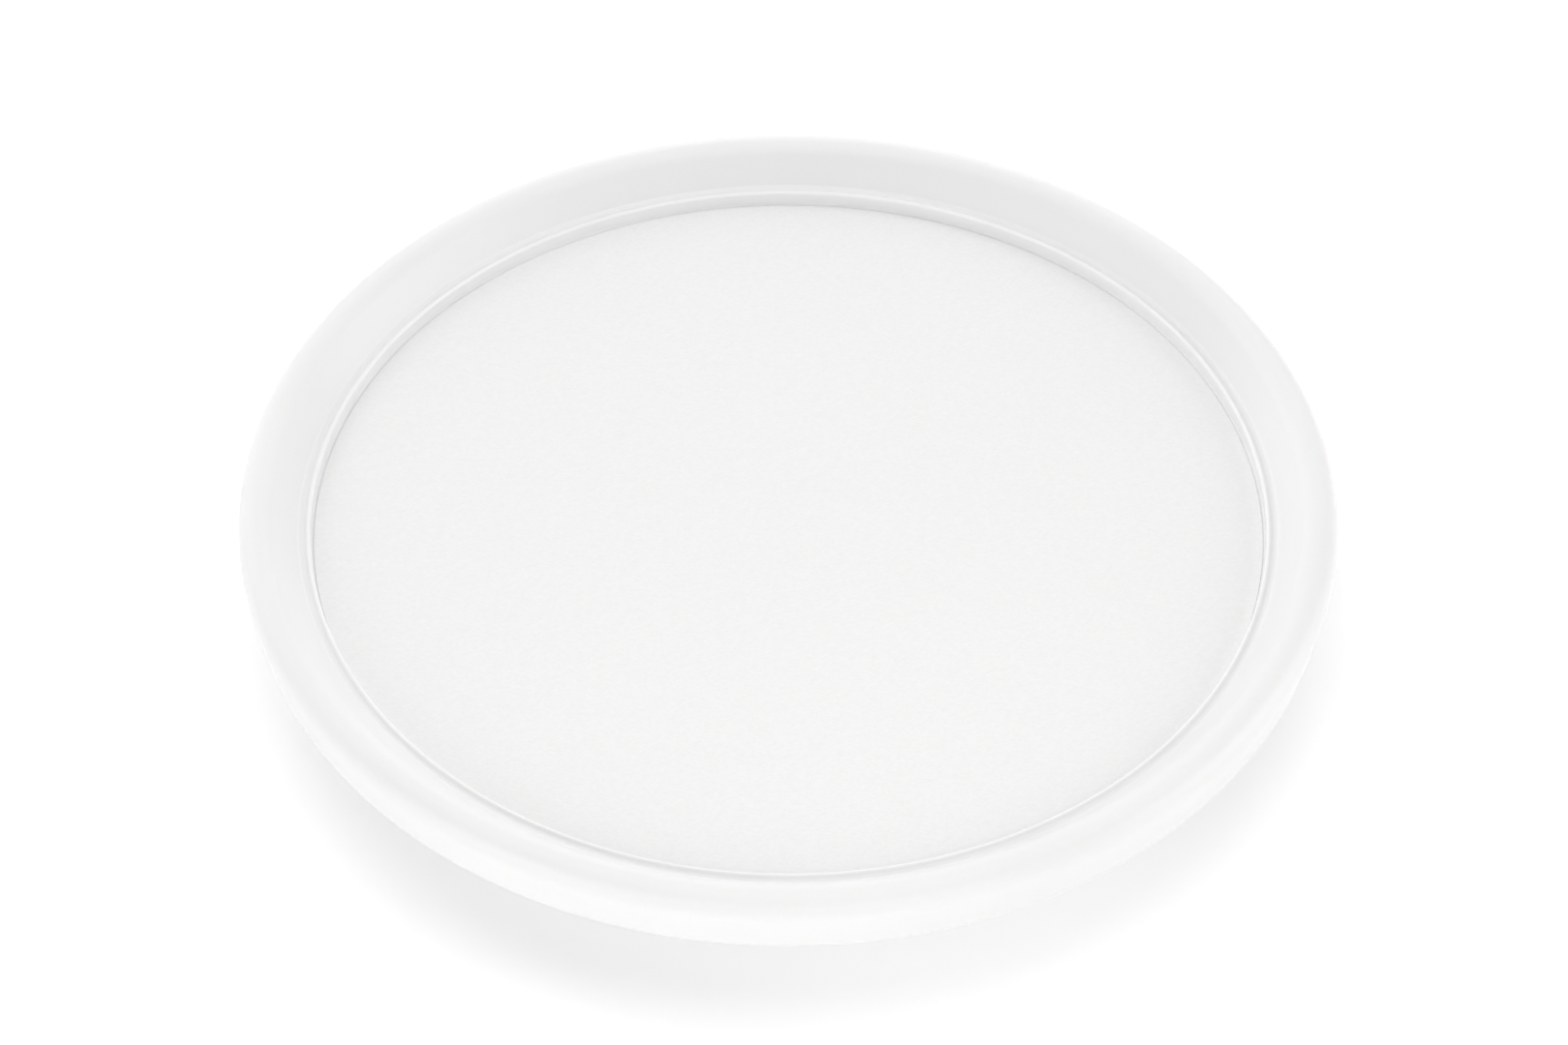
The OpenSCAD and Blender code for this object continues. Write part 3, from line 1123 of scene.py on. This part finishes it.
@dataclass
class BallBearing(Assembly):
    """The thrust bearing: two grooved steel rings, a plastic cage and twelve steel balls."""

    balls: int = 12
    ball_gap: float = 0.08 * MM
    edge: float = 0.4 * MM
    groove_steps: int = 14
    cage_w: float = 13.0 * MM
    web_share: float = 0.55
    pocket_gap: float = 0.22 * MM
    pocket_wall: float = 1.6 * MM
    pocket_steps: int = 8

    def build(self) -> None:
        """Builds the rings, the cage and the balls' finish."""
        steel = TurnedSteel("race_turned_zinc", (0.62, 0.62, 0.63), rough=0.32).material()
        for name, node, body, facing in (("lower_ring", "lower_race", Body.BASE, Facing.UP),
                                         ("upper_ring", "upper_race", Body.TRAY, Facing.DOWN)):
            self.place(name, self.race(node, facing), body, node, "race", steel)
        acetal = MouldedPlastic("cage_natural_acetal", (0.74, 0.71, 0.61), rough=0.38, grain=900.0,
                                grain_depth=5e-6)
        self.place("ball_retainer", self.cage(), Body.CAGE, "ball_cage", "cage", acetal.material())
        polished = TurnedSteel("ball_polished_steel", (0.78, 0.78, 0.79), rough=0.1, marks=0.0,
                               depth=4e-7).material()
        for i in range(self.balls):
            ball = bpy.data.objects[f"ball_{i + 1:02d}"]
            ball.data.materials.clear()
            ball.data.materials.append(polished)

    @property
    def ball_r(self) -> float:
        """Radius of a ball."""
        low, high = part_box("ball_01")
        return (high.z - low.z) / 2

    @property
    def ball_z(self) -> float:
        """Height of the balls' centres."""
        low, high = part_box("ball_01")
        return (high.z + low.z) / 2

    def race(self, node: str, facing: Facing) -> BMesh:
        """Turns one ring with a ball groove in the face that looks towards the balls.

        Args:
            node: The frame node of the ring.
            facing: Which way the grooved face looks.

        Returns:
            The ring as a closed mesh.
        """
        low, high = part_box(node)
        race_in, race_out = PITCH_R - RACE_W / 2, PITCH_R + RACE_W / 2
        face, back = (high.z, low.z) if facing is Facing.UP else (low.z, high.z)
        groove_r = self.ball_r + self.ball_gap
        rise = facing.value * (self.ball_z - face)
        half = math.degrees(math.acos(rise / groove_r))
        corners = [Corner(race_in, back, self.edge), Corner(race_out, back, self.edge),
                   Corner(race_out, face, self.edge)]
        for k in range(self.groove_steps + 1):
            arm = groove_r * direction(-90 + half - k * 2 * half / self.groove_steps)
            corners.append(Corner(PITCH_R + arm.x, self.ball_z + facing.value * arm.y))
        corners.append(Corner(race_in, face, self.edge))
        return turned(corners, steps=256, fine=22.5)

    def cage(self) -> BMesh:
        """Builds the cage: a flat web with a hole and a snap-in ring for each ball.

        Returns:
            The cage as one mesh.
        """
        low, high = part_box("ball_cage")
        half = (high.z - low.z) / 2
        boss_r = self.ball_r + self.pocket_gap + self.pocket_wall
        rings = ring_of(self.pocket(half, boss_r), self.balls, at=PITCH_R)
        return joined([self.web(half * self.web_share, boss_r - self.pocket_wall / 2), rings])

    def pocket(self, half: float, boss_r: float) -> BMesh:
        """Turns the ring of one pocket about the origin, hollowed to the ball's own curve.

        Args:
            half: Half of its height.
            boss_r: Its outer radius.

        Returns:
            The ring as a closed mesh.
        """
        hollow = self.ball_r + self.pocket_gap
        limit = math.degrees(math.asin(half / hollow))
        corners = [Corner(boss_r, self.ball_z + z, 0.3 * MM) for z in (-half, half)]
        for k in range(self.pocket_steps + 1):
            arm = hollow * direction(limit - k * 2 * limit / self.pocket_steps)
            corners.append(Corner(arm.x, self.ball_z + arm.y))
        return turned(corners, steps=64, fine=22.5)

    def web(self, half: float, hole_r: float) -> BMesh:
        """Cuts the flat web of the cage with a hole at each ball.

        Args:
            half: Half of its thickness.
            hole_r: Radius of the holes.

        Returns:
            The web as a closed mesh.
        """
        bm = bmesh.new()
        for radius in (PITCH_R - self.cage_w / 2, PITCH_R + self.cage_w / 2):
            bmesh.ops.create_circle(bm, segments=192, radius=radius)
        for i in range(self.balls):
            at = Matrix.Rotation(i * FULL_TURN / self.balls, 4, "Z") @ Matrix.Translation((PITCH_R, 0, 0))
            bmesh.ops.create_circle(bm, segments=40, radius=hole_r, matrix=at)
        bmesh.ops.triangle_fill(bm, use_beauty=True, use_dissolve=False, edges=bm.edges[:],
                                normal=(0, 0, 1))
        moved(bm, Vector((0, 0, self.ball_z - half)))
        pulled(bm, bm.faces[:], Vector((0, 0, 2 * half)))
        bmesh.ops.recalc_face_normals(bm, faces=bm.faces[:])
        rims = [e for e in bm.edges if e.is_manifold and e.calc_face_angle() > 1.0]
        bmesh.ops.bevel(bm, geom=rims, offset=0.2 * MM, offset_type="OFFSET", segments=2, profile=0.5,
                        affect="EDGES", material=-1)
        return bm


@dataclass
class Pivot(Assembly):
    """The centre: bush, shoulder screw, washer and the cap that closes the well."""

    flange_t: float = 1.2 * MM
    thread_r: float = 2.0 * MM
    thread_d: float = 0.35 * MM
    thread_pitch: float = 1.0 * MM
    head_t: float = 2.0 * MM
    recess_l: float = 6.5 * MM
    slot_w: float = 1.1 * MM
    cap_t: float = 1.2 * MM
    cap_ring_w: float = 1.6 * MM
    cap_slot_l: float = 13.0 * MM

    def build(self) -> None:
        """Builds the four pieces."""
        acetal = MouldedPlastic("bush_natural_acetal", (0.72, 0.69, 0.6), rough=0.36, grain=900.0,
                                grain_depth=4e-6)
        zinc = TurnedSteel("screw_zinc", (0.5, 0.5, 0.52), rough=0.34)
        washer = TurnedSteel("washer_zinc", (0.66, 0.66, 0.67), rough=0.3, marks=2600.0)
        cap = MouldedPlastic("cap_matt_white", (0.82, 0.82, 0.81), rough=0.5)
        self.place("bush", self.bush(), Body.BASE, "pivot_bush", "bush", acetal.material())
        self.place("shoulder_screw", self.screw(), Body.TRAY, "pivot_screw", "screw", zinc.material())
        self.place("thrust_ring", self.washer(), Body.TRAY, "thrust_washer", "washer", washer.material())
        self.place("well_cap", self.cap(), Body.BASE, "screw_cap", "cap", cap.material())

    def bush(self) -> BMesh:
        """Turns the flanged bush with chamfered ends and returns it."""
        low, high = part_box("pivot_bush")
        bore, flange = PIN_R + PIN_GAP, high.z - self.flange_t
        return turned([
            Corner(bore, low.z, 0.3 * MM), Corner(BUSH_R, low.z, 0.4 * MM),
            Corner(BUSH_R, flange, 0.1 * MM), Corner(high.x, flange, 0.25 * MM),
            Corner(high.x, high.z, 0.25 * MM), Corner(bore, high.z, 0.3 * MM)], steps=128, fine=22.5)

    def screw(self) -> BMesh:
        """Turns the shoulder screw, cuts its cross recess and winds its thread.

        Returns:
            The screw as one mesh.
        """
        low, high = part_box("pivot_screw")
        hub_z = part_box("pivot_bush")[1].z + PLAY
        core_r, head_z = self.thread_r - self.thread_d, low.z + self.head_t
        body = turned([
            Corner(0, low.z), Corner(high.x, low.z, 0.35 * MM), Corner(high.x, head_z, 0.3 * MM),
            Corner(PIN_R, head_z, 0.2 * MM), Corner(PIN_R, hub_z, 0.25 * MM),
            Corner(core_r, hub_z, 0.1 * MM), Corner(core_r, high.z, 0.4 * MM), Corner(0, high.z)],
            steps=96, closed=False, fine=22.5)
        bars = [(self.recess_l / 2, self.slot_w / 2), (self.slot_w / 2, self.recess_l / 2)]
        sunk(body, low.z, bars, self.head_t / 2)
        return joined([body, self.thread(hub_z + self.thread_pitch / 2, high.z - self.thread_pitch / 2)])

    def thread(self, start: float, end: float) -> BMesh:
        """Winds the thread as a ridge on its core.

        Args:
            start: Height where the ridge starts.
            end: Height where it ends.

        Returns:
            The ridge as a closed mesh.
        """
        turns = (end - start) / self.thread_pitch
        steps = round(turns * 48)
        foot, core_r = self.thread_pitch * 0.4, self.thread_r - self.thread_d
        bm = bmesh.new()
        verts = [bm.verts.new(v) for v in (
            (core_r - WELD, 0, start - foot), (self.thread_r, 0, start - foot * 0.15),
            (self.thread_r, 0, start + foot * 0.15), (core_r - WELD, 0, start + foot))]
        bm.faces.new(verts)
        bmesh.ops.spin(bm, geom=bm.verts[:] + bm.edges[:] + bm.faces[:], cent=(0, 0, 0), axis=(0, 0, 1),
                       dvec=(0, 0, (end - start) / steps), angle=turns * FULL_TURN, steps=steps,
                       use_merge=False, use_duplicate=False)
        bmesh.ops.recalc_face_normals(bm, faces=bm.faces[:])
        return bm

    def washer(self) -> BMesh:
        """Turns the washer with one rounded edge, as stamping leaves it, and returns it."""
        low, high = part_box("thrust_washer")
        bore = PIN_R + 2 * PIN_GAP
        return turned([
            Corner(bore, low.z, 0.25 * MM), Corner(high.x, low.z, 0.3 * MM),
            Corner(high.x, high.z, 0.08 * MM), Corner(bore, high.z, 0.08 * MM)], steps=128, fine=22.5)

    def cap(self) -> BMesh:
        """Turns the cap and sinks its slot, and returns it."""
        low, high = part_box("screw_cap")
        inner, top = high.x - self.cap_ring_w, low.z + self.cap_t
        bm = turned([
            Corner(0, low.z), Corner(high.x, low.z, 0.4 * MM), Corner(high.x, high.z, 0.5 * MM),
            Corner(inner, high.z, 0.3 * MM), Corner(inner, top, 0.5 * MM), Corner(0, top)],
            steps=128, closed=False)
        sunk(bm, low.z, [(self.cap_slot_l / 2, self.slot_w / 2)], self.cap_t / 2)
        return bm


def main() -> None:
    """Builds the studio and every sub-assembly, and reports each piece."""
    logging.basicConfig(level=logging.INFO, format="%(message)s")
    Studio().build(Vector((0, 0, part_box("floor_mat")[1].z)))
    for assembly in (TrayMoulding(), FloorMat(), BaseMoulding(), Feet(), BallBearing(), Pivot()):
        assembly.build()
        for piece in assembly.made:
            LOG.info("%s: %d faces", piece.name, len(piece.data.polygons))


if __name__ == "__main__":
    main()
